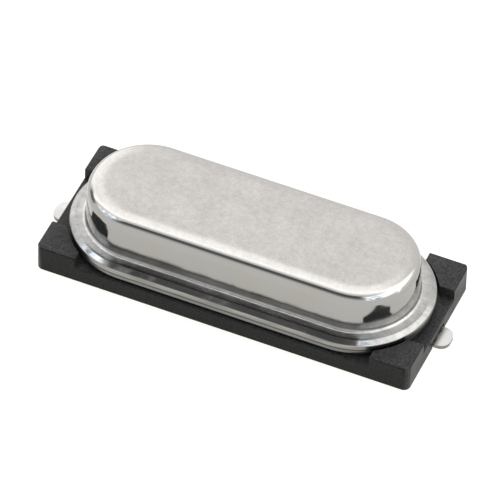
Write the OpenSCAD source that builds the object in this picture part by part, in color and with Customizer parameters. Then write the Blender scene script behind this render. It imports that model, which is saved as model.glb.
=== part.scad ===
// Low-profile quartz crystal unit. A drawn metal can is welded to a stamped
// header, and the pair sits on a moulded surface-mount base. The two header
// leads pass down through the base and are pressed flat under it.
// Lengths are in millimetres. The origin is the middle of the underside,
// X runs along the leads and Z is up.

/* [Base] */
// Length of the moulded base
base_l = 11.4; // [9.5:0.1:13.7]
// Width of the moulded base
base_w = 4.45; // [3.7:0.05:5.35]
// Thickness of the base plate
base_t = 0.52; // [0.44:0.01:0.62]
// Height of the corner posts above the underside
post_top = 0.86; // [0.75:0.01:1.05]
// Length of a corner post along the base
post_l = 1.2; // [0.8:0.05:1.45]
// Width of a corner post across the base
post_w = 1.1; // [0.8:0.05:1.35]
// Radius of the upright corners of the base
corner_r = 0.2; // [0.1:0.01:0.3]
// Bevel along the top edges of the base
edge_bevel = 0.03; // [0.02:0.01:0.05]
// Gap between a corner post and the rim of the can
post_gap = 0.08; // [0.04:0.01:0.15]

/* [Can] */
// Overall height of the finished part
height = 2.42; // [2.05:0.01:2.9]
// Length of the can over the foot of its walls
can_l = 9.98; // [8.3:0.01:12]
// Width of the can over the foot of its walls
can_w = 3.55; // [2.95:0.01:4.3]
// Angle at which the walls lean inward
draft = 1.5; // [0:0.25:3]
// Thickness of the drawn sheet
can_t = 0.22; // [0.18:0.01:0.27]
// Outside radius round the top of the can
top_r = 0.36; // [0.3:0.01:0.44]
// Width of the rim round the can
rim_w = 0.46; // [0.38:0.01:0.56]
// Width of the rim's flat, inside its bevelled edge
rim_flat_w = 0.35; // [0.28:0.01:0.4]
// Thickness of the rim where it meets the wall
rim_t = 0.31; // [0.27:0.01:0.38]
// Angle at which the rim's flat falls away from the wall
rim_fall = 3.5; // [0:0.5:5]
// Slope of the rim's bevelled edge
rim_slope = 34; // [28:1:42]
// Radius outside the can where the wall turns into the rim
crease_r = 0.095; // [0.06:0.005:0.14]

/* [Header] */
// Height of the header's seat under its rim
seat_h = 0.12; // [0.1:0.01:0.15]
// Thickness of the header's rim
header_rim_t = 0.14; // [0.11:0.01:0.17]
// Height of the header's deck above its rim
deck_h = 0.22; // [0.18:0.01:0.26]
// How far the header's rim stays inside the can's rim
rim_setback = 0.03; // [0:0.01:0.06]
// Gap between the header's deck and the can's inner wall
deck_gap = 0.1; // [0.06:0.01:0.15]
// Outside diameter of a glass bead
bead_d = 1.1; // [0.95:0.05:1.3]
// Clearance between pieces that are sealed or glued together
seal_gap = 0.005; // [0.002:0.001:0.01]

/* [Leads] */
// Distance between the two leads where they pass through the header
lead_pitch = 4.88; // [4.1:0.01:5.8]
// Diameter of the lead wire
wire_d = 0.43; // [0.36:0.01:0.5]
// Thickness of a lead where it is pressed flat
flat_t = 0.14; // [0.12:0.01:0.17]
// Width of a lead where it is pressed flat
flat_w = 0.72; // [0.6:0.01:0.85]
// How far a lead reaches past the end of the base
lead_reach = 0.4; // [0.3:0.05:0.7]
// Corner radius at the tip of a lead
tip_r = 0.28; // [0.2:0.01:0.29]
// Radius inside the bend where a lead turns under the base
bend_r = 0.1; // [0.06:0.01:0.12]
// Radius outside the bend, at the heel of the lead
heel_r = 0.2; // [0.12:0.01:0.25]
// Length over which the pressed lead spreads to its full width
spread_l = 0.8; // [0.6:0.05:1]
// Diameter of the weld head on top of a lead
head_d = 0.8; // [0.65:0.05:0.95]
// Thickness of the weld head
head_t = 0.1; // [0.08:0.01:0.12]
// Side clearance of a lead in its channel and hole
channel_gap = 0.06; // [0.04:0.01:0.1]
// Space above a lead in its channel
channel_room = 0.12; // [0.1:0.01:0.15]

/* [Crystal] */
// Width of the quartz blank
blank_w = 1.8; // [1.5:0.05:2.1]
// Thickness of the quartz blank
blank_t = 0.14; // [0.12:0.01:0.17]
// Length of the bevel at each end of the blank
blank_bevel = 0.3; // [0.2:0.05:0.4]
// Space between a spring's upturned end and the can's inner wall
end_room = 0.3; // [0.25:0.01:0.36]
// Space between the end of the blank and the spring's upturned end
end_gap = 0.06; // [0.04:0.01:0.1]
// Thickness of the electrode films, drawn thicker than the real plating
film_t = 0.02; // [0.01:0.005:0.025]
// Length of the electrode pads in the middle of the blank
pad_l = 4.2; // [3.5:0.1:5]
// Width of the electrode pads
pad_w = 1.4; // [1.1:0.05:1.5]
// Width of the electrode strips that lead to the ends
strip_w = 0.5; // [0.4:0.05:0.6]
// Length of the electrode's turn round the end of the blank
wrap_l = 0.4; // [0.3:0.05:0.5]

/* [Springs] */
// Thickness of the spring strip
spring_t = 0.06; // [0.05:0.01:0.08]
// Width of the spring strip
spring_w = 1.1; // [0.9:0.05:1.3]
// Length of the foot welded to the lead
foot_l = 0.8; // [0.65:0.05:0.95]
// Height of the step from the foot to the shelf
spring_rise = 0.3; // [0.25:0.01:0.35]
// Inside radius of the bends in the spring
spring_r = 0.06; // [0.05:0.01:0.08]
// Height of the upturned end above the shelf
stop_h = 0.22; // [0.18:0.01:0.26]
// Diameter of the glue drop at each end of the blank
glue_d = 0.8; // [0.7:0.05:0.95]
// Height of the glue drop above the blank
glue_h = 0.14; // [0.1:0.01:0.18]

/* [Hidden] */
$fn = 64;
over = 0.5;                                       // how far cutters run past a face
span = (can_l - can_w) / 2;                       // middle of the part to the axis of a round end
wall_r = can_w / 2;                               // outside of the wall's foot round that axis
rim_r = wall_r + rim_w;                           // outside of the can's rim
bore_r = wall_r - can_t;                          // inside of the can's wall
rim_bottom = base_t + seat_h;                     // underside of the header's rim
seam = rim_bottom + header_rim_t;                 // where the can's rim meets the header's
rim_top = seam + rim_t;                           // top of the rim, where it meets the wall
deck = seam + deck_h;                             // top of the header inside the can
ceiling = height - can_t;                         // inside top of the can
deck_r = bore_r - deck_gap;
seat_r = deck_r - header_rim_t;
lead_x = lead_pitch / 2;
bead_r = bead_d / 2;
wire_r = wire_d / 2;
tip_x = base_l / 2 + lead_reach;
head_z = deck + head_t;                           // underside of the weld head
foot_z = head_z + head_t;                         // underside of the spring's foot
shelf_z = foot_z + spring_rise;                   // underside of the spring's shelf
shelf_top = shelf_z + spring_t;
blank_z = shelf_top + film_t;                     // underside of the quartz
stop_x = span + sqrt(pow(bore_r, 2) - pow(spring_w / 2, 2)) - end_room;
blank_l = 2 * (stop_x - spring_t - end_gap);
foot_end = lead_x + foot_l / 2;
channel_h = flat_t + channel_room;

// ---------- shared shapes ----------

// Plan outline with straight sides and round ends.
module stadium(r) {
    square([2 * span, 2 * r], center = true);
    for (side = [-1, 1]) translate([side * span, 0]) circle(r);
}

// Carries a half section (distance from the spine, height) round the stadium.
module carry_round() {
    for (turn = [0, 180])
        rotate([0, 0, turn]) translate([span, 0, 0]) rotate([0, 0, -90])
            rotate_extrude(angle = 180) children();
    rotate([90, 0, 90]) linear_extrude(2 * span, center = true) {
        children();
        mirror([1, 0]) children();
    }
}

// Section from the axis to a leaning wall, rounded at the top. The wall is at
// distance r at height foot.
module capped(r, foot, low, high, round_r, lean) {
    centre = r - (high - round_r - foot) * tan(lean) - round_r / cos(lean);
    polygon([[0, low], [r + (foot - low) * tan(lean), low],
             [centre + round_r * cos(lean), high - round_r + round_r * sin(lean)],
             [centre, high], [0, high]]);
    translate([centre, high - round_r]) circle(round_r);
}

// Filling for an inside corner at (x, z), rounded to radius r, between a wall
// that leans back and a flat that falls away. It reaches a little way in.
module crease(x, z, r, lean = 0, fall = 0) {
    half = (90 + lean + fall) / 2;
    reach = r / tan(half);
    far = r / sin(half);
    tuck = 0.02;
    up = [-reach * sin(lean), reach * cos(lean)];
    out = [reach * cos(fall), -reach * sin(fall)];
    middle = [far * cos(half - fall), far * sin(half - fall)];
    translate([x, z]) difference() {
        polygon([[-tuck, -tuck], [out[0], out[1] - tuck], out, middle, up, [up[0] - tuck, up[1]]]);
        translate(middle) circle(r);
    }
}

// A quarter of a bent strip. Its inside radius is r and its centre is the origin.
module bend(r, t) {
    difference() {
        circle(r + t);
        circle(r);
        translate([-2 * (r + t), -(r + t)]) square(2 * (r + t));
        translate([-(r + t), -2 * (r + t)]) square(2 * (r + t));
    }
}

// Copies a piece of the right-hand half to the left by turning it.
module to_side(side) {
    rotate([0, 0, side > 0 ? 0 : 180]) children();
}

// ---------- base ----------

module base_plan() {
    square([base_l - 2 * corner_r, base_w], center = true);
    square([base_l, base_w - 2 * corner_r], center = true);
    for (sx = [-1, 1], sy = [-1, 1])
        translate([sx * (base_l / 2 - corner_r), sy * (base_w / 2 - corner_r)]) circle(corner_r);
}

// Profile with bevelled top corners, w wide and h high.
module bevelled(w, h) {
    polygon([[-w / 2, 0], [w / 2, 0], [w / 2, h - edge_bevel], [w / 2 - edge_bevel, h],
             [edge_bevel - w / 2, h], [-w / 2, h - edge_bevel]]);
}

// Body of the base with its top edges bevelled, h high.
module bevelled_block(h) {
    intersection() {
        linear_extrude(h) base_plan();
        rotate([90, 0, 0]) linear_extrude(base_w + over, center = true) bevelled(base_l, h);
        rotate([90, 0, 90]) linear_extrude(base_l + over, center = true) bevelled(base_w, h);
    }
}

// Corner posts, cut back to clear the round ends of the rim.
module posts() {
    difference() {
        intersection() {
            bevelled_block(post_top);
            for (sx = [-1, 1], sy = [-1, 1])
                translate([sx * base_l / 2, sy * base_w / 2, 0])
                    linear_extrude(post_top) square([2 * post_l, 2 * post_w], center = true);
        }
        translate([0, 0, base_t]) linear_extrude(post_top) stadium(rim_r + post_gap);
    }
}

// Channel under the base for a flattened lead, open at the end of the base.
module lead_channel() {
    w = flat_w + 2 * channel_gap;
    translate([lead_x, -w / 2, -over]) cube([base_l, w, channel_h + over]);
    translate([lead_x, 0, -over]) cylinder(r = w / 2, h = channel_h + over);
}

// Hole in the base plate for the round wire.
module wire_hole() {
    translate([lead_x, 0, 0]) cylinder(r = wire_r + channel_gap, h = base_t + over);
}

module base() {
    color([0.17, 0.17, 0.17]) difference() {
        union() {
            bevelled_block(base_t);
            posts();
        }
        for (side = [-1, 1]) to_side(side) {
            lead_channel();
            wire_hole();
        }
    }
}

// ---------- header, beads and leads ----------

module header_section() {
    translate([0, base_t]) square([seat_r, deck - base_t]);
    translate([0, rim_bottom]) square([rim_r - rim_setback, header_rim_t]);
    translate([0, rim_bottom]) square([deck_r, deck - rim_bottom]);
}

module header() {
    color([0.72, 0.71, 0.69]) difference() {
        carry_round() header_section();
        for (side = [-1, 1]) translate([side * lead_x, 0, base_t - over])
            cylinder(r = bead_r, h = deck - base_t + 2 * over);
    }
}

module glass_bead(side) {
    color([0.35, 0.45, 0.42]) to_side(side) translate([lead_x, 0, base_t]) difference() {
        cylinder(r = bead_r - seal_gap, h = deck - base_t);
        translate([0, 0, -over]) cylinder(r = wire_r + seal_gap, h = deck - base_t + 2 * over);
    }
}

// Plan of the pressed part of a lead: it spreads from the wire to its full
// width and ends in a rounded tip.
module pressed_plan() {
    full_x = lead_x + spread_l;
    polygon([[lead_x, -wire_r], [full_x, -flat_w / 2], [full_x, flat_w / 2], [lead_x, wire_r]]);
    translate([full_x, -flat_w / 2]) square([tip_x - tip_r - full_x, flat_w]);
    translate([full_x, tip_r - flat_w / 2]) square([tip_x - full_x, flat_w - 2 * tip_r]);
    for (side = [-1, 1]) translate([tip_x - tip_r, side * (flat_w / 2 - tip_r)]) circle(tip_r);
}

// Side view of the foot of a lead, with the heel rounded off.
module heel_side() {
    x = lead_x - wire_r;
    translate([x + heel_r, 0]) square([base_l, foot_z]);
    translate([x, heel_r]) square([base_l, foot_z]);
    translate([x + heel_r, heel_r]) circle(heel_r);
}

module lead(side) {
    color([0.82, 0.81, 0.79]) to_side(side) {
        // upright wire with a rounded heel, and the weld head on top
        intersection() {
            translate([lead_x, 0, 0]) cylinder(r = wire_r, h = foot_z);
            rotate([90, 0, 0]) linear_extrude(2 * wire_d, center = true) heel_side();
        }
        translate([lead_x, 0, head_z]) cylinder(r = head_d / 2, h = head_t);
        // the wire turns outward in a small radius and is pressed flat
        intersection() {
            linear_extrude(2 * wire_d) pressed_plan();
            rotate([90, 0, 0]) linear_extrude(2 * flat_w, center = true) {
                translate([lead_x, 0]) square([base_l, flat_t]);
                translate([lead_x, 0]) square([wire_r, flat_t + bend_r]);
                crease(lead_x + wire_r, flat_t, bend_r);
            }
        }
    }
}

// ---------- crystal and its springs ----------

// Side view of a spring: foot, step up, shelf and upturned end.
module spring_side() {
    t = spring_t;
    r = spring_r;
    step_x = foot_end + r;
    translate([lead_x - foot_l / 2, foot_z]) square([foot_l, t]);
    translate([foot_end, foot_z + t + r]) rotate(-90) bend(r, t);
    translate([step_x, foot_z + t + r]) square([t, spring_rise - t - 2 * r]);
    translate([step_x + t + r, shelf_z - r]) rotate(90) bend(r, t);
    translate([step_x + t + r, shelf_z]) square([stop_x - 2 * t - 2 * r - step_x, t]);
    translate([stop_x - t - r, shelf_top + r]) rotate(-90) bend(r, t);
    translate([stop_x - t, shelf_top + r]) square([t, stop_h - r]);
}

module spring(side) {
    color([0.75, 0.72, 0.62]) to_side(side)
        rotate([90, 0, 0]) linear_extrude(spring_w, center = true) spring_side();
}

// Side view of the blank, thinned by a bevel at each end.
module blank_side(grow = 0) {
    x = blank_l / 2 + grow;
    bevel = blank_t / 4;
    polygon([[-x, bevel - grow], [blank_bevel - x, -grow], [x - blank_bevel, -grow], [x, bevel - grow],
             [x, blank_t - bevel + grow], [x - blank_bevel, blank_t + grow],
             [blank_bevel - x, blank_t + grow], [-x, blank_t - bevel + grow]]);
}

module quartz_blank() {
    color([0.9, 0.92, 0.93]) translate([0, 0, blank_z]) rotate([90, 0, 0])
        linear_extrude(blank_w, center = true) blank_side();
}

// Film on the top face, led to the right-hand end and turned under it.
module film() {
    difference() {
        rotate([90, 0, 0]) linear_extrude(pad_w, center = true) difference() {
            blank_side(film_t);
            blank_side();
        }
        // under the blank only the turned end stays
        translate([-blank_l, -blank_w, -blank_t / 2]) cube([3 * blank_l / 2 - wrap_l, 2 * blank_w, blank_t]);
        // the far end stays bare
        translate([-2 * blank_l, -blank_w, -blank_t]) cube([2 * blank_l - pad_l / 2, 2 * blank_w, 3 * blank_t]);
        // the strip is narrower than the pad
        for (side = [-1, 1]) translate([pad_l / 2, side * (strip_w + blank_w) / 2 - blank_w / 2, -blank_t])
            cube([blank_l / 2 - wrap_l - pad_l / 2, blank_w, 3 * blank_t]);
    }
}

module electrode_top() {
    color([0.86, 0.86, 0.84]) translate([0, 0, blank_z]) rotate([0, 0, 180]) film();
}

module electrode_bottom() {
    color([0.86, 0.86, 0.84]) translate([0, 0, blank_z + blank_t]) rotate([180, 0, 0]) film();
}

// Drop of conductive glue over the end of the blank.
module glue(side) {
    drop_r = (pow(glue_d / 2, 2) + pow(glue_h, 2)) / (2 * glue_h);
    top_z = blank_z + blank_t + film_t;
    drop_x = stop_x - spring_t - glue_d / 2;
    color([0.7, 0.7, 0.66]) to_side(side) intersection() {
        translate([drop_x, 0, top_z + seal_gap]) cylinder(r = glue_d / 2, h = glue_h);
        translate([drop_x, 0, top_z + glue_h - drop_r]) sphere(drop_r);
    }
}

// ---------- can ----------

// The rim: a flat that falls away from the wall, and a bevelled edge.
module rim_section() {
    flat_z = rim_top - rim_flat_w * tan(rim_fall);
    edge_z = flat_z - (rim_w - rim_flat_w) * tan(rim_slope);
    polygon([[0, seam], [rim_r, seam], [rim_r, edge_z], [wall_r + rim_flat_w, flat_z],
             [wall_r, rim_top], [0, rim_top]]);
}

module can_outside() {
    capped(wall_r, rim_top, seam, height, top_r, draft);
    rim_section();
    crease(wall_r, rim_top, crease_r, draft, rim_fall);
}

// The mouth flares with the sheet, so the bend keeps its thickness.
module can_inside() {
    capped(bore_r, rim_top, seam - over, ceiling, top_r - can_t, draft);
    crease(bore_r + rim_t * tan(draft), seam, crease_r + can_t, draft);
}

module can() {
    color([0.8, 0.79, 0.77]) carry_round() difference() {
        can_outside();
        can_inside();
    }
}

base();
header();
glass_bead(-1);  // glass_bead_left
glass_bead(1);  // glass_bead_right
lead(-1);  // lead_left
lead(1);  // lead_right
spring(-1);  // spring_left
spring(1);  // spring_right
quartz_blank();
electrode_top();
electrode_bottom();
glue(-1);  // glue_left
glue(1);  // glue_right
can();
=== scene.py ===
# %% [markdown]
# # A low-profile quartz crystal unit
#
# The object is about 12 mm long. A drawn metal can with round ends is welded to a
# stamped header, and the pair sits on a black moulded base with four corner posts.
# A flat lead shows under each end. The solids of all 14 pieces come from the packed
# CAD model. This lesson gives the outside pieces finer meshes, gives every piece its
# finish, and lights the object on a pale floor.
#
# Blender works in metres, and every piece stays in the same frame as the CAD: the
# origin is the middle of the underside, X runs along the leads and Z is up.

# %% Load the fixed frame
from math import acos, cos, pi, radians, sin, tan

import bmesh
import bpy
from mathutils import Matrix, Vector


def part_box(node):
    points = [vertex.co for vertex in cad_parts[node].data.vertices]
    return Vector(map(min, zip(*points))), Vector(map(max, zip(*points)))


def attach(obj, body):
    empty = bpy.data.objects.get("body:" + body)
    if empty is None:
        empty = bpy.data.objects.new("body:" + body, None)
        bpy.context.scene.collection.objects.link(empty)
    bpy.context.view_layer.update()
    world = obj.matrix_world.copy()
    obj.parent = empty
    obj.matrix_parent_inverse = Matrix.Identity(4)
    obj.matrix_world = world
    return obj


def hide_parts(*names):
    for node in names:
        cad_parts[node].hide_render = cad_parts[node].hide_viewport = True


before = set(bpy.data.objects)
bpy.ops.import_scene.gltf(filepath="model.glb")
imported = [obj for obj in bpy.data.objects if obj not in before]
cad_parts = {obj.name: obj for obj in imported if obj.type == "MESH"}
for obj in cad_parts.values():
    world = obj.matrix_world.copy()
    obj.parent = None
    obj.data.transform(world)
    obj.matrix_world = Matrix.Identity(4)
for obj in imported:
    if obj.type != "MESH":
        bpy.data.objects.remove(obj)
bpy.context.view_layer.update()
MM = 0.001
print("CAD pieces:", ", ".join(sorted(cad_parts)))

# %% [markdown]
# ## The camera
#
# The part is seen from its front right corner, from about 47 degrees up, and from so
# far away that its parallel edges stay almost parallel. A long lens from 200 mm does
# that. The camera could be aimed by a track-to constraint, but that would keep it
# upright, and this one is turned a little about its own axis. So its three directions
# are worked out and written as a matrix.

# %% Choose where the camera stands
CAMERA_TURN = radians(22.19)        # round the part, from the front towards the right
CAMERA_RISE = radians(46.74)
CAMERA_ROLL = radians(1.81)
CAMERA_DISTANCE = 200 * MM
CAMERA_AIM = Vector((-0.104, 0.050, 1.0)) * MM

towards_camera = Vector((
    sin(CAMERA_TURN) * cos(CAMERA_RISE),
    -cos(CAMERA_TURN) * cos(CAMERA_RISE),
    sin(CAMERA_RISE),
))
level_right = towards_camera.cross(Vector((0, 0, -1))).normalized()
level_up = towards_camera.cross(level_right)
view_right = level_right * cos(CAMERA_ROLL) + level_up * sin(CAMERA_ROLL)
view_up = level_up * cos(CAMERA_ROLL) - level_right * sin(CAMERA_ROLL)
print("towards the camera:", [round(v, 3) for v in towards_camera])

# %% Make the camera
FOCAL_LENGTH = 511.0                # in mm, on a sensor 36 mm wide
SENSOR_WIDTH = 36

lens = bpy.data.cameras.new("camera")
lens.lens = FOCAL_LENGTH
lens.sensor_width = SENSOR_WIDTH
lens.clip_start, lens.clip_end = 0.01, 10      # in metres
camera = bpy.data.objects.new("camera", lens)
bpy.context.scene.collection.objects.link(camera)
placement = Matrix((view_right, view_up, towards_camera)).transposed().to_4x4()
placement.translation = CAMERA_AIM + towards_camera * CAMERA_DISTANCE
camera.matrix_world = placement
bpy.context.scene.camera = camera
print("camera at", [round(v / MM, 1) for v in placement.translation], "mm")

# %% [markdown]
# ## Small helpers
#
# Every finish is a node tree. Trees can be drawn by hand in the editor, but a script
# says every number and can be run again. These helpers keep it short: each adds one
# node, sets or links its sockets, and returns what it gives. A colour or number that
# is the same all over a piece is set on the shader's own socket.

# %% Helpers that start a tree
def add_node(tree, kind, inputs=(), **settings):
    """Adds a node. inputs gives sockets by name or number, and settings its properties."""
    node = tree.nodes.new(kind)
    for name, value in settings.items():
        setattr(node, name, value)
    for socket, value in dict(inputs).items():
        if isinstance(value, bpy.types.NodeSocket):
            tree.links.new(value, node.inputs[socket])
        else:
            node.inputs[socket].default_value = value
    return node


def new_finish(name, **shader_values):
    """A material with one Principled shader, and the tree to build its pattern in."""
    material = bpy.data.materials.new(name)
    material.use_nodes = True
    tree = material.node_tree
    shader = tree.nodes["Principled BSDF"]
    for socket, value in shader_values.items():
        shader.inputs[socket.replace("_", " ")].default_value = value
    return material, tree, shader


def object_place(tree):
    """Where a point is on the piece, in metres."""
    return add_node(tree, "ShaderNodeTexCoord").outputs["Object"]


def split(tree, place):
    """The three coordinates of a place."""
    return add_node(tree, "ShaderNodeSeparateXYZ", {"Vector": place}).outputs


# %% Helpers that work out a pattern
def calculate(tree, operation, first, second=0.0):
    """One step of arithmetic on two values."""
    node = add_node(tree, "ShaderNodeMath", {0: first, 1: second}, operation=operation)
    return node.outputs[0]


def both(tree, first, second):
    """One share of another: 1 only where both are 1."""
    return calculate(tree, "MULTIPLY", first, second)


def remap(tree, value, low, high, to_low, to_high, kind="LINEAR"):
    """Maps a value from one range to another, and stops at the ends of the range."""
    node = add_node(tree, "ShaderNodeMapRange", {
        "Value": value, "From Min": low, "From Max": high,
        "To Min": to_low, "To Max": to_high}, interpolation_type=kind)
    return node.outputs["Result"]


NOISE_RANGE = (0.3, 0.7)            # most of a noise lies between these


def wandering(tree, pattern, low, high):
    """A value that wanders with a noise, from low to high."""
    return remap(tree, pattern, *NOISE_RANGE, low, high)


def fade(tree, value, start, end):
    """0 before start and 1 past end, eased between them. start may be the higher."""
    return remap(tree, value, start, end, 0, 1, "SMOOTHSTEP")


def noise(tree, place, scale, detail=2.0, roughness=0.5, stretch=(1, 1, 1)):
    """A noise pattern in object coordinates. A stretch under 1 draws it out on that axis."""
    mapping = add_node(tree, "ShaderNodeMapping", {"Vector": place, "Scale": stretch})
    texture = add_node(tree, "ShaderNodeTexNoise", {
        "Vector": mapping.outputs[0], "Scale": scale,
        "Detail": detail, "Roughness": roughness})
    return texture.outputs[0]


# %% Helpers that mix and finish
def grey(level):
    """A colour without a hue."""
    return (level, level, level, 1)


def blend_colours(tree, share, first, second):
    """Mixes two colours by share."""
    node = add_node(tree, "ShaderNodeMix", {0: share, 6: first, 7: second}, data_type="RGBA")
    return node.outputs[2]


def blend_values(tree, share, first, second):
    """Mixes two numbers by share."""
    return add_node(tree, "ShaderNodeMix", {0: share, 2: first, 3: second}).outputs[0]


def patterned(tree, pattern, low, high, dark, light):
    """A colour that goes from dark to light as the pattern goes from low to high."""
    return blend_colours(tree, remap(tree, pattern, low, high, 0, 1), dark, light)


def add_bump(tree, shader, height, depth, strength=1.0):
    """Roughens the surface by a height pattern. depth is in metres."""
    bump = add_node(tree, "ShaderNodeBump", {
        "Height": height, "Distance": depth, "Strength": strength})
    tree.links.new(bump.outputs[0], shader.inputs["Normal"])


def report_finish(material):
    """Prints how large the tree of a finish is."""
    print(f"{material.name}: {len(material.node_tree.nodes)} nodes")


# %% [markdown]
# ## The nickel finish of the can
#
# The can is pressed from nickel-plated sheet. The punch leaves its flat top satin,
# with soft clouds and a fine grain. The wall slides through the die and comes out
# like a mirror with long shallow waves in it. The rim is scuffed by the welding tool.
# Painted shade darkens the crease at the foot of the wall, a painted dark reflection runs
# along the bend of the rim at the front, and a painted shadow makes the seam under the rim
# darkest of all. The wall and the bevel at the ends are painted a darker nickel as well, as
# painted shade.
#
# Such changes could be painted on an unwrapped image. Here they follow the height, so
# each zone is a fade along Z in object coordinates. That needs no unwrapping, it is
# sharp at any size, and it stays in place when the object is seen from elsewhere.

# %% Find the zones of the can
can_low, can_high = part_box("can")
SEAM_Z, TOP_Z = can_low.z, can_high.z
RIM_Z = SEAM_Z + 0.31 * MM          # where the flat of the rim meets the wall

can_nickel, tree, shader = new_finish("can_nickel", Metallic=1.0)
place = object_place(tree)
_, depth, height = split(tree, place)


def zone(level, start, end):
    """Fades in from start to end, both in mm above a level of the can."""
    return fade(tree, height, level + start * MM, level + end * MM)


on_top = zone(TOP_Z, -0.090, -0.020)
below_top = zone(TOP_Z, -0.15, -0.80)
on_rim = zone(RIM_Z, 0.16, 0.08)
on_bevel = zone(RIM_Z, -0.002, -0.024)
on_side = zone(RIM_Z, -0.08, -0.14)
at_seam = zone(SEAM_Z, 0.07, 0.035)
in_crease = both(tree, zone(RIM_Z, 0.13, 0.09), zone(RIM_Z, 0.025, 0.05))
at_bend = both(tree, zone(RIM_Z, -0.014, -0.018), zone(RIM_Z, -0.030, -0.024))
in_front = fade(tree, depth, -1.60 * MM, -1.90 * MM)
print("heights in mm: seam", round(SEAM_Z / MM, 2), "rim", round(RIM_Z / MM, 2),
      "top", round(TOP_Z / MM, 2))

# %% Draw the patterns of the nickel
# a scale of 1000 gives patches of about 1 mm
clouds = noise(tree, place, 900, detail=3, roughness=0.55)
warm_patches = noise(tree, place, 700)
mottle = noise(tree, place, 6000, detail=3, roughness=0.6)
grain = noise(tree, place, 15000, roughness=0.6)
scuffs = noise(tree, place, 7000, detail=3, roughness=0.65, stretch=(0.5, 1, 1))
scratches = noise(tree, place, 2600, detail=4, roughness=0.7, stretch=(0.25, 1, 2.5))
speckle = calculate(tree, "ADD", calculate(tree, "MULTIPLY", grain, 0.5),
                    calculate(tree, "MULTIPLY", mottle, 0.5))
report_finish(can_nickel)

# %% Colour the nickel
# the wall is painted a darker nickel than the top: painted shade, as the glowing floor that
# it mirrors has no shade beside the part
wall_colour = patterned(tree, warm_patches, 0.42, 0.62,
                        (0.338, 0.332, 0.324, 1), (0.333, 0.326, 0.307, 1))
satin_dark = patterned(tree, clouds, 0.35, 0.65,
                       (0.313, 0.300, 0.287, 1), (0.331, 0.318, 0.305, 1))
satin_light = patterned(tree, clouds, 0.35, 0.65,
                        (0.394, 0.380, 0.363, 1), (0.418, 0.403, 0.389, 1))
top_colour = patterned(tree, speckle, 0.34, 0.66, satin_dark, satin_light)
rim_colour = patterned(tree, scuffs, 0.36, 0.64,
                       (0.300, 0.296, 0.290, 1), (0.430, 0.424, 0.414, 1))
# the bevel at the ends is scuffed, and painted darker than at the front as painted shade
end_bevel_scuffs_and_shade = patterned(tree, scuffs, 0.36, 0.64,
                      (0.235, 0.232, 0.225, 1), (0.315, 0.310, 0.301, 1))
front_bevel = patterned(tree, scratches, 0.35, 0.65,
                        (0.280, 0.276, 0.270, 1), (0.380, 0.375, 0.366, 1))
bevel_colour = blend_colours(tree, in_front, end_bevel_scuffs_and_shade, front_bevel)
side_colour = patterned(tree, scratches, 0.35, 0.65,
                        (0.200, 0.195, 0.187, 1), (0.350, 0.342, 0.328, 1))
# painted shade in the crease at the foot of the wall
CREASE_SHADE = (0.16, 0.158, 0.155, 1)
# painted dark reflection along the bend of the rim, at the front only
BEND_SHADE = (0.13, 0.128, 0.125, 1)
SEAM_SHADOW = (0.05, 0.05, 0.048, 1)

nickel = blend_colours(tree, on_top, wall_colour, top_colour)
for share, colour in (
    (both(tree, on_rim, 0.85), rim_colour),
    (both(tree, in_crease, 0.75), CREASE_SHADE),
    (on_bevel, bevel_colour),
    (both(tree, at_bend, in_front), BEND_SHADE),
    (on_side, side_colour),
    (at_seam, SEAM_SHADOW),
):
    nickel = blend_colours(tree, share, nickel, colour)
tree.links.new(nickel, shader.inputs["Base Color"])
report_finish(can_nickel)

# %% Polish the wall and dull the top and rim
roughness = wandering(tree, clouds, 0.08, 0.13)
for share, rough in (
    (on_top, wandering(tree, clouds, 0.30, 0.36)),
    (on_rim, wandering(tree, scratches, 0.26, 0.38)),
    (on_bevel, remap(tree, in_front, 0, 1, 0.34, 0.10)),
    (on_side, 0.30),
):
    roughness = blend_values(tree, share, roughness, rough)
tree.links.new(roughness, shader.inputs["Roughness"])
report_finish(can_nickel)

# %% Give the nickel its relief
# the heights are in thousandths of a millimetre, and each pattern is centred on zero,
# because a pattern that is higher on one side would tilt the surface where it fades in
RELIEF_UNIT = 0.001 * MM
WAVE_HEIGHT = 130.0
RIPPLE_HEIGHT = 9.0

waves = calculate(tree, "SUBTRACT", noise(tree, place, 420, stretch=(1, 1, 0.5)), 0.5)
ripples = calculate(tree, "SUBTRACT", noise(tree, place, 1700, stretch=(1, 1, 0.6)), 0.5)
unevenness = calculate(tree, "ADD", calculate(tree, "MULTIPLY", waves, WAVE_HEIGHT),
                       calculate(tree, "MULTIPLY", ripples, RIPPLE_HEIGHT))
relief = calculate(tree, "ADD", both(tree, unevenness, below_top), both(tree, grain, on_top))
add_bump(tree, shader, relief, depth=RELIEF_UNIT)
report_finish(can_nickel)

# %% [markdown]
# ## The section of the can
#
# The can is one half section carried round an oblong with round ends, so it follows
# one rule. The section is an open outline: out along the top, down the wall, out
# along the rim, round its edge, and back inside the sheet. X is the distance from the
# spine of the oblong and Y the height. It could be drawn as a Bezier curve, but an
# outline of straight lines with a radius at each corner is how a toolmaker draws it,
# and the script only has to fit an arc into each corner.

# %% Draw a section with rounded corners
ARC_STEP = radians(5)


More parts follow.
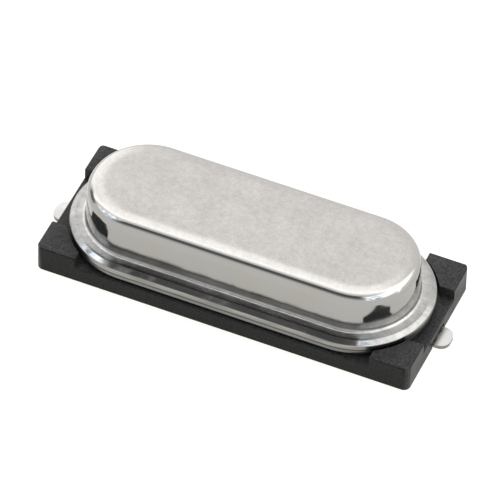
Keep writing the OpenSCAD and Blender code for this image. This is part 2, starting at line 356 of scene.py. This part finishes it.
def corner_arc(before, corner, after, hold):
    """The points of one rounded corner. corner is (distance, height, radius)."""
    here = Vector(corner[:2])
    inward = (Vector(before[:2]) - here).normalized()
    outward = (Vector(after[:2]) - here).normalized()
    half = acos(max(-1, min(1, inward.dot(outward)))) / 2
    reach = corner[2] / tan(half)
    centre = here + (inward + outward).normalized() * corner[2] / sin(half)
    start, end = here + inward * reach, here + outward * reach
    turn = pi - 2 * half
    steps = max(2, round(turn / ARC_STEP))
    first = start - centre
    side = 1 if first.cross(end - centre) > 0 else -1
    points = [tuple(start + inward * hold)]
    for i in range(steps + 1):
        angle = side * turn * i / steps
        points.append((centre.x + first.x * cos(angle) - first.y * sin(angle),
                       centre.y + first.x * sin(angle) + first.y * cos(angle)))
    return points + [tuple(end + outward * hold)]


def rounded_section(corners, hold=0.012 * MM):
    """Points of an open outline whose inner corners are arcs. One more point lies hold
    beyond each end of an arc, which keeps the shading of the flats flat."""
    points = [corners[0][:2]]
    for before, corner, after in zip(corners, corners[1:], corners[2:]):
        points += corner_arc(before, corner, after, hold)
    return points + [corners[-1][:2]]


# %% Give the can its sizes
WALL_RADIUS = 1.775 * MM            # at the foot of the wall
SHEET = 0.22 * MM
DRAFT = radians(1.5)
TOP_RADIUS = 0.32 * MM
INNER_TOP_RADIUS = 0.14 * MM
TOP_FALL = radians(13)              # the top sinks towards its edge before the wall begins
CROWN_WIDTH = 0.47 * MM
CROWN_RADIUS = 0.80 * MM
CREASE_RADIUS = 0.105 * MM
RIM_WIDTH = 0.46 * MM
RIM_FLAT = 0.31 * MM
RIM_FALL = radians(3.5)
RIM_SLOPE = radians(34)             # the slope of the bevel outside the flat
RIM_BEND_RADIUS = 0.012 * MM
RIM_EDGE_RADIUS = 0.05 * MM
UNDER_EDGE_RADIUS = 0.02 * MM

top_radius = WALL_RADIUS - (TOP_Z - RIM_Z) * tan(DRAFT)
rim_radius = WALL_RADIUS + RIM_WIDTH
flat_end = (WALL_RADIUS + RIM_FLAT, RIM_Z - RIM_FLAT * tan(RIM_FALL))
bore = WALL_RADIUS - SHEET
CAN_CORNERS = [                     # distance from the spine, height, radius
    (0, TOP_Z, 0),
    (top_radius - CROWN_WIDTH, TOP_Z, CROWN_RADIUS),
    (top_radius, TOP_Z - CROWN_WIDTH * tan(TOP_FALL), TOP_RADIUS),
    (WALL_RADIUS, RIM_Z, CREASE_RADIUS),
    (*flat_end, RIM_BEND_RADIUS),
    (rim_radius, flat_end[1] - (RIM_WIDTH - RIM_FLAT) * tan(RIM_SLOPE), RIM_EDGE_RADIUS),
    (rim_radius, SEAM_Z, UNDER_EDGE_RADIUS),
    (bore + (RIM_Z - SEAM_Z) * tan(DRAFT), SEAM_Z, CREASE_RADIUS + SHEET),
    (bore - (TOP_Z - SHEET - RIM_Z) * tan(DRAFT), TOP_Z - SHEET, INNER_TOP_RADIUS),
    (0, TOP_Z - SHEET, 0),
]
print("the section has", len(rounded_section(CAN_CORNERS)), "points")

# %% [markdown]
# ## Carrying the section round the oblong
#
# The can could be modelled from a box with subdivision, but that needs edge loops
# placed by hand to keep the wall straight, and every change of size moves them all.
# Geometry Nodes say the rule itself: make the oblong, carry the section along it, and
# merge what meets on the spine. The tree has named inputs for the sizes, so one tree
# can make any can of this kind.

# %% Open the tree and name its inputs
SWEEP = bpy.data.node_groups.new("sweep_round_oblong", "GeometryNodeTree")
sockets = SWEEP.interface
sockets.new_socket("Geometry", in_out="OUTPUT", socket_type="NodeSocketGeometry")
for name, kind in (("Geometry", "Geometry"), ("Half Straight", "Float"),
                   ("Path Radius", "Float"), ("Steps Per Quarter", "Int"),
                   ("Cuts Along Straight", "Int"), ("Finish", "Material")):
    sockets.new_socket(name, in_out="INPUT", socket_type="NodeSocket" + kind)
given = SWEEP.nodes.new("NodeGroupInput").outputs
result = SWEEP.nodes.new("NodeGroupOutput")
CLOSE = 0.0002 * MM                 # points nearer than this are one point


def geo(kind, inputs=(), **settings):
    """Adds a geometry node to the sweep."""
    return add_node(SWEEP, "GeometryNode" + kind, inputs, **settings)


print("inputs:", ", ".join(socket.name for socket in given if socket.name))

# %% Draw the oblong in the tree
# a rectangle whose corners are rounded until its ends are half circles
path_radius = given["Path Radius"]
half_length = calculate(SWEEP, "ADD", given["Half Straight"], path_radius)
rectangle = geo("CurvePrimitiveQuadrilateral", {
    "Width": calculate(SWEEP, "MULTIPLY", half_length, 2.0),
    "Height": calculate(SWEEP, "MULTIPLY", path_radius, 2.0)})
oblong = geo("FilletCurve", {
    "Curve": rectangle.outputs[0], "Radius": path_radius,
    "Count": given["Steps Per Quarter"], "Limit Radius": True}, mode="POLY")
# the two quarters of an end share a point, which is merged before the section follows it
outline = geo("CurveToMesh", {"Curve": oblong.outputs[0]})
closed = geo("MergeByDistance", {"Geometry": outline.outputs[0], "Distance": CLOSE})
loop = geo("MeshToCurve", {"Mesh": closed.outputs[0]})
print("the oblong takes", len(SWEEP.nodes), "nodes")

# %% Cut the straights of the oblong
# only the two long steps are cut, so that the straights shade flat
position = geo("InputPosition").outputs[0]
next_point = geo("OffsetPointInCurve", {
    "Point Index": geo("InputIndex").outputs[0], "Offset": 1})
next_place = geo("FieldAtIndex", {
    "Index": next_point.outputs["Point Index"], "Value": position},
    data_type="FLOAT_VECTOR", domain="POINT")
step = add_node(SWEEP, "ShaderNodeVectorMath", {0: next_place.outputs[0], 1: position},
                operation="DISTANCE")
is_long = add_node(SWEEP, "FunctionNodeCompare",
                   {0: step.outputs["Value"], 1: given["Half Straight"]},
                   data_type="FLOAT", operation="GREATER_THAN")
cuts = geo("Switch", {0: is_long.outputs[0], 1: 0, 2: given["Cuts Along Straight"]},
           input_type="INT")
path = geo("SubdivideCurve", {"Curve": loop.outputs[0], "Cuts": cuts.outputs[0]})
upright = geo("SetCurveNormal", {"Curve": path.outputs[0]}, mode="Z_UP")
print("with its cuts it takes", len(SWEEP.nodes), "nodes")

# %% Carry the section and finish the tree
# distances count from the spine but the path runs outside it, and a profile's Y points down
drawn = split(SWEEP, position)
turned = add_node(SWEEP, "ShaderNodeCombineXYZ", {
    0: calculate(SWEEP, "SUBTRACT", drawn[0], path_radius),
    1: calculate(SWEEP, "MULTIPLY", drawn[1], -1.0)})
section = geo("SetPosition", {"Geometry": given["Geometry"], "Position": turned.outputs[0]})
profile_curve = geo("MeshToCurve", {"Mesh": section.outputs[0]})
swept = geo("CurveToMesh", {"Curve": upright.outputs[0],
                            "Profile Curve": profile_curve.outputs[0]})
merged = geo("MergeByDistance", {"Geometry": swept.outputs[0], "Distance": CLOSE})
smooth = geo("SetShadeSmooth", {"Geometry": merged.outputs[0]})
real = geo("RealizeInstances", {"Geometry": smooth.outputs[0]})
finished = geo("SetMaterial", {"Geometry": real.outputs[0], "Material": given["Finish"]})
SWEEP.links.new(finished.outputs[0], result.inputs[0])
print("sweep tree:", len(SWEEP.nodes), "nodes")

# %% [markdown]
# ## Running the tree
#
# A tree works as a modifier on a piece, here on a mesh that holds only the outline.
# The inputs are set by the identifiers of their sockets, because their names can
# repeat. What the modifier makes could stay live, but a finished piece is a plain
# mesh: it can be measured, turned outwards and handed on.

# %% Helpers that run a tree and keep the result
def polyline(name, points):
    """A mesh of points joined by edges, in the XY plane."""
    mesh = bpy.data.meshes.new(name)
    edges = [(i, i + 1) for i in range(len(points) - 1)]
    mesh.from_pydata([(x, y, 0) for x, y in points], edges, [])
    piece = bpy.data.objects.new(name, mesh)
    bpy.context.scene.collection.objects.link(piece)
    return piece


def keep_result(piece):
    """Replaces the mesh of a piece by what its modifiers make, and removes them."""
    bpy.context.view_layer.update()
    graph = bpy.context.evaluated_depsgraph_get()
    mesh = bpy.data.meshes.new_from_object(
        piece.evaluated_get(graph), preserve_all_data_layers=True, depsgraph=graph)
    piece.modifiers.clear()
    piece.data = mesh
    mesh.name = piece.name


def run_tree(piece, tree, **values):
    """Adds the tree as a modifier, sets its inputs, and keeps what it makes."""
    modifier = piece.modifiers.new("shape", "NODES")
    modifier.node_group = tree
    for item in tree.interface.items_tree:
        value = values.get(item.name.replace(" ", "_"))
        if item.in_out == "INPUT" and value is not None:
            modifier[item.identifier] = value
    keep_result(piece)


# %% Helper that turns a piece outwards and measures it
def face_outwards(piece):
    """Turns every face of a closed piece outwards, and prints what was measured."""
    shape = bmesh.new()
    shape.from_mesh(piece.data)
    bmesh.ops.recalc_face_normals(shape, faces=shape.faces)
    shape.to_mesh(piece.data)
    open_edges = sum(not edge.is_manifold for edge in shape.edges)
    print(f"{piece.name}: {len(shape.faces)} faces, {open_edges} open edges,"
          f" volume {shape.calc_volume(signed=True) / MM ** 3:.2f} mm3")
    shape.free()


# %% Make the can
HALF_STRAIGHT = can_high.x - can_high.y         # its ends are half circles
can = polyline("drawn_can", rounded_section(CAN_CORNERS))
run_tree(can, SWEEP, Half_Straight=HALF_STRAIGHT, Path_Radius=WALL_RADIUS,
         Steps_Per_Quarter=40, Cuts_Along_Straight=12, Finish=can_nickel)
face_outwards(can)
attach(can, "root")
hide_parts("can")

# %% [markdown]
# ## Breaking the edges of the base, the header and the leads
#
# These are moulded, stamped and pressed, so their edges are never quite sharp, and a
# sharp edge gives away a computer model at once. They could be modelled anew, but the
# CAD solids already have the right shape. So a copy of each mesh is merged into whole
# faces, a Bevel modifier breaks its edges by a few hundredths of a millimetre, and
# weighted normals keep the flats flat.

# %% Helper that breaks the edges of a CAD piece
SAME_POINT = 0.0005 * MM            # points nearer than this are merged
SAME_PLANE = radians(0.5)           # faces that meet at less than this become one
SHARP = radians(25)                 # only edges that turn by more than this are broken
ROUNDING_STEPS = 3


def softened(node, name, width, finish):
    """A copy of a CAD piece with its edges rounded by width, in its finish."""
    piece = bpy.data.objects.new(name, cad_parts[node].data.copy())
    bpy.context.scene.collection.objects.link(piece)
    shape = bmesh.new()
    shape.from_mesh(piece.data)
    bmesh.ops.remove_doubles(shape, verts=shape.verts, dist=SAME_POINT)
    bmesh.ops.dissolve_limit(shape, angle_limit=SAME_PLANE, verts=shape.verts,
                             edges=shape.edges)
    for each in shape.faces:
        each.smooth = True
    shape.to_mesh(piece.data)
    shape.free()
    rounding = piece.modifiers.new("edges", "BEVEL")
    rounding.width = width
    rounding.segments = ROUNDING_STEPS
    rounding.limit_method = "ANGLE"
    rounding.angle_limit = SHARP
    rounding.harden_normals = False
    weights = piece.modifiers.new("flats", "WEIGHTED_NORMAL")
    weights.keep_sharp = True
    keep_result(piece)
    piece.data.materials.clear()
    piece.data.materials.append(finish)
    face_outwards(piece)
    return piece


# %% [markdown]
# ## The finish of the black base
#
# The base is moulded in a filled resin: nearly black, with a fine dull grain. Its upper faces
# are painted a little greyer than the sides, as painted sheen. A single black would look like
# a hole, so the colour is speckled by the same grain that roughens the surface. How much it
# shines is the same all over, so that is set on the shader.

# %% Find the sides of the base
BASE_HALF_LENGTH, BASE_HALF_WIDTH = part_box("base")[1].x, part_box("base")[1].y

black_resin, tree, shader = new_finish("black_resin", IOR=1.42, Specular_IOR_Level=0.21)
place = object_place(tree)
along, depth, _ = split(tree, place)


def near_outside(value, outside):
    """1 in the outermost hundredth of a millimetre of either side, 0 from three inwards."""
    return remap(tree, calculate(tree, "ABSOLUTE", value),
                 outside - 0.03 * MM, outside - 0.01 * MM, 0, 1)


on_end = near_outside(along, BASE_HALF_LENGTH)
on_long_side = near_outside(depth, BASE_HALF_WIDTH)
on_outside = calculate(tree, "MAXIMUM", on_long_side, on_end)
print("base in mm:", round(2 * BASE_HALF_LENGTH / MM, 2), "by",
      round(2 * BASE_HALF_WIDTH / MM, 2))

# %% Make the black resin
resin_grain = noise(tree, place, 17000, roughness=0.6)
resin_clouds = noise(tree, place, 1500)
# the upper faces are painted lighter than the sides: painted sheen over the real grain
top_resin_grain_and_sheen = patterned(tree, resin_grain, 0.36, 0.64, grey(0.008), grey(0.029))
side_resin = patterned(tree, resin_grain, 0.36, 0.64, grey(0.0002), grey(0.0095))
tree.links.new(blend_colours(tree, on_outside, top_resin_grain_and_sheen, side_resin),
               shader.inputs["Base Color"])
tree.links.new(wandering(tree, resin_clouds, 0.34, 0.44), shader.inputs["Roughness"])
add_bump(tree, shader, resin_grain, depth=0.004 * MM, strength=0.8)
report_finish(black_resin)

# %% Make the base
base = softened("base", "moulded_base", width=0.025 * MM, finish=black_resin)
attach(base, "root")
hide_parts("base")

# %% [markdown]
# ## The header
#
# The header is a stamped plate of the same nickel, but only its edge shows, in the shade
# under the rim. That edge is coloured darker than the can, with streaks that run round it. A
# plain dark grey would look like a gap, so the streaks are noise stretched along X and
# squeezed in height.

# %% Make the header
header_nickel, tree, shader = new_finish("header_nickel", Metallic=1.0)
streaks = noise(tree, object_place(tree), 1500, detail=3, roughness=0.6,
                stretch=(0.35, 1, 3))
tree.links.new(blend_colours(tree, streaks, (0.12, 0.118, 0.112, 1), (0.26, 0.255, 0.245, 1)),
               shader.inputs["Base Color"])
tree.links.new(wandering(tree, streaks, 0.32, 0.45), shader.inputs["Roughness"])
report_finish(header_nickel)

header = softened("header", "stamped_header", width=0.02 * MM, finish=header_nickel)
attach(header, "root")
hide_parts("header")

# %% [markdown]
# ## The leads
#
# A lead is a round wire that is pressed flat under the base and dipped in tin, so
# that solder takes to it. Tin is whiter and duller than nickel, and slightly uneven.
# Its sides are painted darker than its faces, as a painted reflection of the shadow on the
# table beside them. One finish serves both leads, and a loop makes the second like the first.

# %% Make the tin finish
lead_tin, tree, shader = new_finish("lead_tin", Metallic=1.0)
place = object_place(tree)
tin_mottle = noise(tree, place, 2600, detail=3, roughness=0.6)
# the sides are painted darker: a painted reflection of the shadow on the table
on_lead_side = fade(tree, split(tree, place)[2], 0.135 * MM, 0.105 * MM)
tin = blend_colours(tree, tin_mottle, (0.44, 0.43, 0.418, 1), (0.60, 0.588, 0.57, 1))
tree.links.new(blend_colours(tree, on_lead_side, tin, (0.22, 0.215, 0.21, 1)),
               shader.inputs["Base Color"])
tree.links.new(wandering(tree, tin_mottle, 0.20, 0.34), shader.inputs["Roughness"])
add_bump(tree, shader, tin_mottle, depth=0.004 * MM, strength=0.5)
report_finish(lead_tin)

# %% Make the leads
for side in ("left", "right"):
    lead = softened("lead_" + side, "pressed_lead_" + side,
                    width=0.03 * MM, finish=lead_tin)
    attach(lead, "root")
    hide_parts("lead_" + side)

# %% [markdown]
# ## Finishes of the pieces inside
#
# The can hides the crystal, its springs and the glass seals, but they are part of the
# model, so each has its own finish: green sealing glass, clear quartz with silver
# films, drops of silver-filled glue and rolled spring strip. They differ in colour
# and gloss and not in pattern, so one recipe makes them all. Their CAD meshes are
# kept as they are.

# %% Make the finishes of the inner pieces
def mottled(name, dark, light, scale, rough, **shader_values):
    """A finish whose colour and roughness wander between two values."""
    material, tree, shader = new_finish(name, **shader_values)
    pattern = noise(tree, object_place(tree), scale, detail=3, roughness=0.55)
    tree.links.new(patterned(tree, pattern, *NOISE_RANGE, dark, light),
                   shader.inputs["Base Color"])
    tree.links.new(wandering(tree, pattern, *rough), shader.inputs["Roughness"])
    report_finish(material)
    return material


seal_glass = mottled("seal_glass", (0.03, 0.07, 0.06, 1), (0.06, 0.12, 0.10, 1),
                     scale=3000, rough=(0.06, 0.12), IOR=1.52)
spring_strip = mottled("spring_strip", (0.50, 0.46, 0.38, 1), (0.60, 0.56, 0.47, 1),
                       scale=2500, rough=(0.20, 0.32), Metallic=1.0)
clear_quartz = mottled("clear_quartz", (0.78, 0.82, 0.84, 1), (0.88, 0.91, 0.92, 1),
                       scale=2000, rough=(0.10, 0.22), IOR=1.54, Transmission_Weight=0.7)
silver_plate = mottled("silver_plate", (0.84, 0.83, 0.80, 1), (0.92, 0.91, 0.89, 1),
                       scale=2200, rough=(0.12, 0.2), Metallic=1.0)
silver_paste = mottled("silver_paste", (0.40, 0.40, 0.38, 1), (0.55, 0.55, 0.52, 1),
                       scale=6000, rough=(0.45, 0.6), Metallic=0.6)

# %% Give every CAD piece its finish
CAD_FINISHES = {
    "glass_bead_left": seal_glass, "glass_bead_right": seal_glass,
    "spring_left": spring_strip, "spring_right": spring_strip,
    "quartz_blank": clear_quartz,
    "electrode_top": silver_plate, "electrode_bottom": silver_plate,
    "glue_left": silver_paste, "glue_right": silver_paste,
    # the five below are shown by finer pieces, and keep the same finish underneath
    "can": can_nickel, "base": black_resin, "header": header_nickel,
    "lead_left": lead_tin, "lead_right": lead_tin,
}
for node_name, finish in CAD_FINISHES.items():
    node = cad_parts[node_name]
    for material_slot in node.material_slots:
        material_slot.material = finish
    if not node.material_slots:
        node.data.materials.append(finish)
print("finished", len(CAD_FINISHES), "CAD pieces")

# %% [markdown]
# ## The floor
#
# The part lies on a plain white table. A white sheet under a lamp would do, but the
# lamp would draw a hard shadow. So the floor is pale grey and glows a little, which
# keeps it even and lights the wall of the can from below. It lies a hair under the
# part, because two faces in one plane show through each other in stripes.

# %% Make the floor
FLOOR_HALF = 0.5
FLOOR_Z = -0.002 * MM

white_table = new_finish(
    "white_table", Base_Color=grey(0.30), Roughness=0.9, Specular_IOR_Level=0.0,
    Emission_Color=(1, 0.975, 0.915, 1), Emission_Strength=0.76)[0]
floor_mesh = bpy.data.meshes.new("floor")
corners = [(x * FLOOR_HALF, y * FLOOR_HALF, FLOOR_Z)
           for x, y in ((-1, -1), (1, -1), (1, 1), (-1, 1))]
floor_mesh.from_pydata(corners, [], [(0, 1, 2, 3)])
floor_mesh.materials.append(white_table)
floor = bpy.data.objects.new("floor", floor_mesh)
bpy.context.scene.collection.objects.link(floor)
print("floor:", 2 * FLOOR_HALF, "m square")

# %% [markdown]
# ## The light
#
# Bright metal shows its surroundings, so what matters is where they are light and
# where they are dark. Area lamps would do for a dull object, but each would stand in
# the nickel as a white square. So the whole light is a painted sky.
#
# From the front horizon over the top to the back, the sky is bright, brightest just
# past overhead, and then even. That draws the white line along the rounded edge of
# the can. A dim patch in front, where a person would stand, draws the dark line
# under it and darkens the bevel of the rim. A soft lamp, two lamps behind slats, a
# pale ceiling and wall and an unlit corner give the round ends their bands.

# %% Open the sky and find the angles of a direction
world = bpy.data.worlds.new("studio")
bpy.context.scene.world = world
world.use_nodes = True
tree = world.node_tree
direction = add_node(tree, "ShaderNodeTexCoord").outputs["Generated"]
along, depth, upward = split(tree, direction)
forward = calculate(tree, "MULTIPLY", depth, -1.0)


def degrees_of(operation, first, second=0.0):
    """An angle that a step of arithmetic gives, in degrees."""
    return calculate(tree, "MULTIPLY", calculate(tree, operation, first, second), 180 / pi)


sky_turn = degrees_of("ARCTAN2", along, forward)        # from the front to the right
sky_rise = degrees_of("ARCSINE", upward)                # above the horizon
from_front = degrees_of("ARCTAN2", upward, forward)     # over the top: 180 is the back
print("the sky starts with", len(tree.nodes), "nodes")

# %% Helpers that mark a patch of sky
def band(value, low, high, soft):
    """1 where value lies between low and high degrees, fading over soft degrees."""
    return both(tree, fade(tree, value, low - soft / 2, low + soft / 2),
                fade(tree, value, high + soft / 2, high - soft / 2))


def panel(turns, rises, soft):
    """1 in a patch of sky between two turns and two heights. soft gives how wide it
    fades at its sides, and at its foot and head."""
    return both(tree, band(sky_turn, *turns, soft[0]), band(sky_rise, *rises, soft[1]))


def round_patch(turn, rise, inner, outer):
    """1 in a round patch of sky, falling to 0 from inner to outer degrees."""
    turn, rise = radians(turn), radians(rise)
    middle = (sin(turn) * cos(rise), -cos(turn) * cos(rise), sin(rise))
    closeness = add_node(tree, "ShaderNodeVectorMath", {0: direction, 1: middle},
                         operation="DOT_PRODUCT")
    return fade(tree, closeness.outputs["Value"], cos(radians(outer)), cos(radians(inner)))


# %% Helper that paints the sky from front to back
HIGHEST = 3.6                       # a ramp holds colours up to 1, so they are scaled


def profile(stops):
    """Brightness from the front over the top, from stops of (degrees, level)."""
    ramp = add_node(tree, "ShaderNodeValToRGB", {
        0: calculate(tree, "DIVIDE", from_front, 180)})
    ramp.color_ramp.interpolation = "EASE"
    elements = ramp.color_ramp.elements
    while len(elements) < len(stops):
        elements.new(0.5)
    for element, (degrees, level) in zip(elements, stops):
        element.position = degrees / 180
        element.color = grey(level / HIGHEST)
    scaled = add_node(tree, "ShaderNodeVectorMath",
                      {0: ramp.outputs[0], "Scale": HIGHEST}, operation="SCALE")
    return scaled.outputs[0]


# %% Choose the lights
OVERHEAD = ((0, 1.30), (28, 1.30), (72, 1.40), (86, 1.60), (96, 2.35), (103, 3.55),
            (111, 2.85), (121, 1.65), (136, 1.55))
DIM_FRONT = ((0, 1.30), (28, 1.30), (38, 0.98), (46, 0.52), (54, 0.22), (64, 0.15),
             (71, 0.32), (80, 0.80), (96, 2.10), (104, 3.40))

slats = noise(tree, direction, 13, detail=3, roughness=0.6, stretch=(1, 1, 0.25))
slat_light = patterned(tree, slats, 0.44, 0.50, (0.14, 0.18, 0.23, 1), (3.3, 3.6, 3.9, 1))
slat_panels = calculate(tree, "ADD",
                        panel(turns=(-80, -52), rises=(28, 64), soft=(14, 14)),
                        panel(turns=(37, 60), rises=(26, 64), soft=(10, 14)))
LIGHTS = {
    "dim front": (
        panel(turns=(-46, 35), rises=(12, 75), soft=(20, 8)), profile(DIM_FRONT)),
    "pale ceiling behind": (
        round_patch(turn=-158, rise=48, inner=6, outer=22), grey(1.5)),
    "unlit corner to the left": (
        panel(turns=(-106, -84), rises=(-4, 26), soft=(8, 8)), grey(0.35)),
    "pale wall behind the left end": (
        panel(turns=(-152, -112), rises=(4, 42), soft=(10, 10)), grey(2.7)),
    "soft lamp to the right": (
        panel(turns=(64, 140), rises=(24, 62), soft=(16, 14)), grey(3.4)),
    "lamps behind slats": (slat_panels, slat_light),
}
print("lights:", ", ".join(LIGHTS))

# %% Paint the sky
sky = profile(OVERHEAD)
for share, light in LIGHTS.values():
    sky = blend_colours(tree, share, sky, light)
tree.links.new(sky, tree.nodes["Background"].inputs["Color"])
# the standard view keeps the levels as they are painted
bpy.context.scene.view_settings.view_transform = "Standard"
print("the whole sky has", len(tree.nodes), "nodes")
